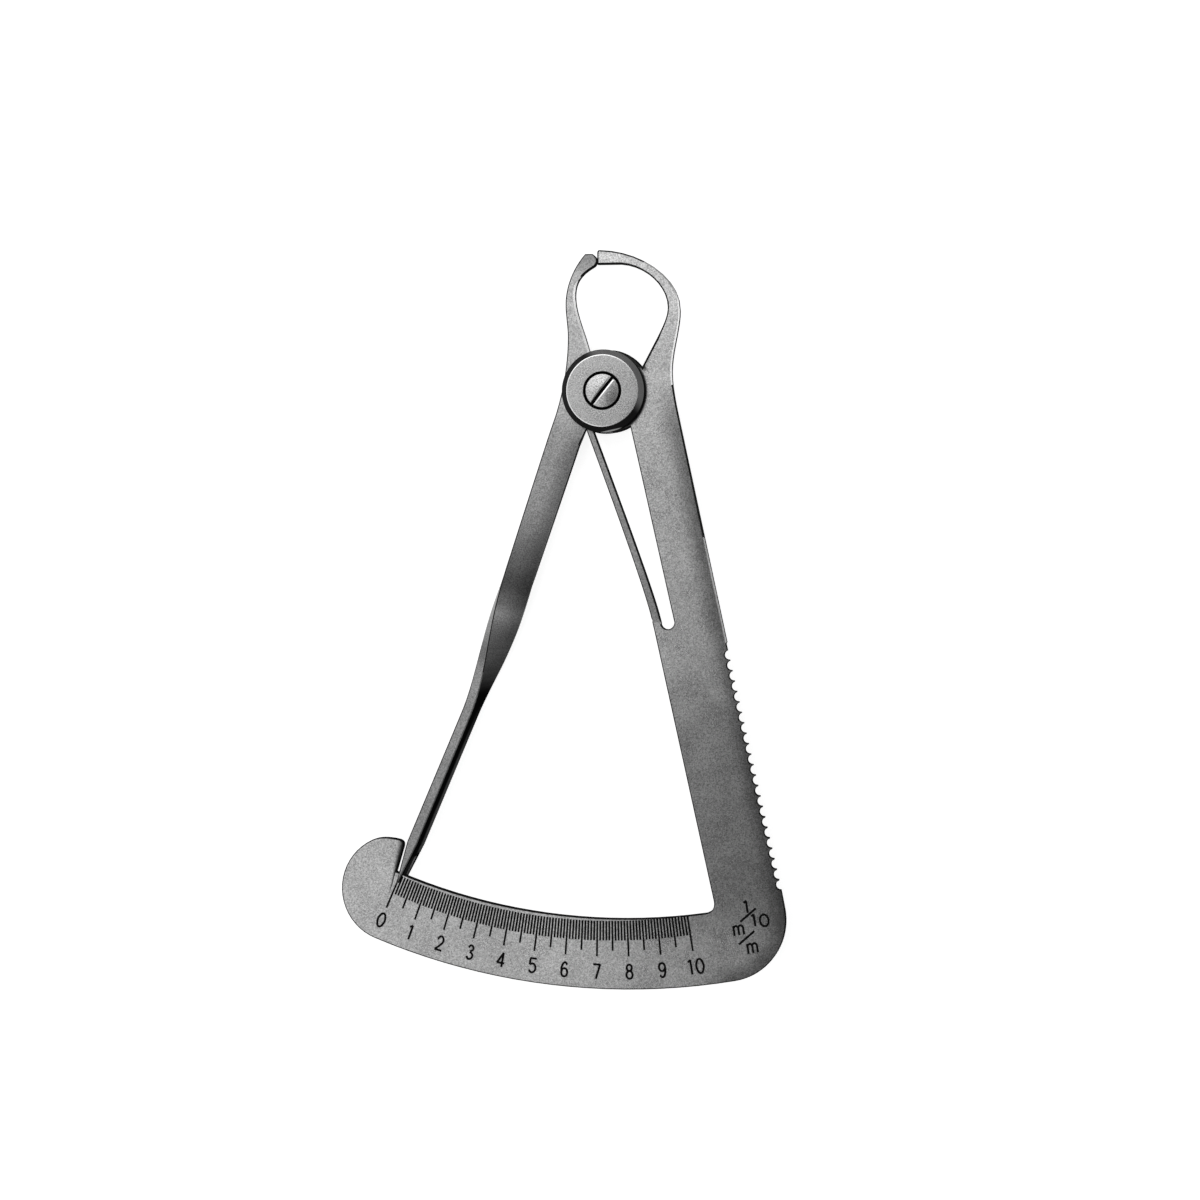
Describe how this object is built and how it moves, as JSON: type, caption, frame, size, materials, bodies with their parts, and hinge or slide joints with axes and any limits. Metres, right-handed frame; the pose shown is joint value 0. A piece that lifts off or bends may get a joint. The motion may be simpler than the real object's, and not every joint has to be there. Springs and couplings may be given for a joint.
{
  "type": "spring caliper",
  "caption": "Flat two-arm spring caliper for wax patterns: curved jaws, round pivot, toothed grip and a forked pointer over an arc scale in tenths of a millimetre.",
  "frame": {"origin": "on the pivot's axis, at the rear disc's flat back face", "axes": "+Y from the pivot to the jaws, with the scale towards -Y; +Z out of the marked face; +X towards the toothed grip"},
  "size_m": [0.0616, 0.1013, 0.0055],
  "materials": {
    "satin_plate": "bead-blasted satin stainless steel",
    "satin_arm": "bead-blasted satin stainless steel",
    "turned_steel": "turned and blasted stainless steel",
    "screw_steel": "turned stainless steel"
  },
  "bodies": {
    "frame": {"frame_plate": "satin_plate", "leaf_spring": "satin_plate", "rear_disc": "turned_steel", "front_disc": "turned_steel", "pivot_sleeve": "turned_steel", "pivot_screw": "screw_steel"},
    "pointer": {"pointer_arm": "satin_arm"}
  },
  "joints": [
    {"name": "arm_pivot", "type": "hinge", "parent": "frame", "child": "pointer", "pos_m": [0, 0, 0.0026], "axis": [0, 0, 1], "range_deg": [0, 32.25], "stiffness_Nm_per_rad": 0.05, "springref_deg": -34.38, "deforming": ["leaf_spring"]}
  ]
}
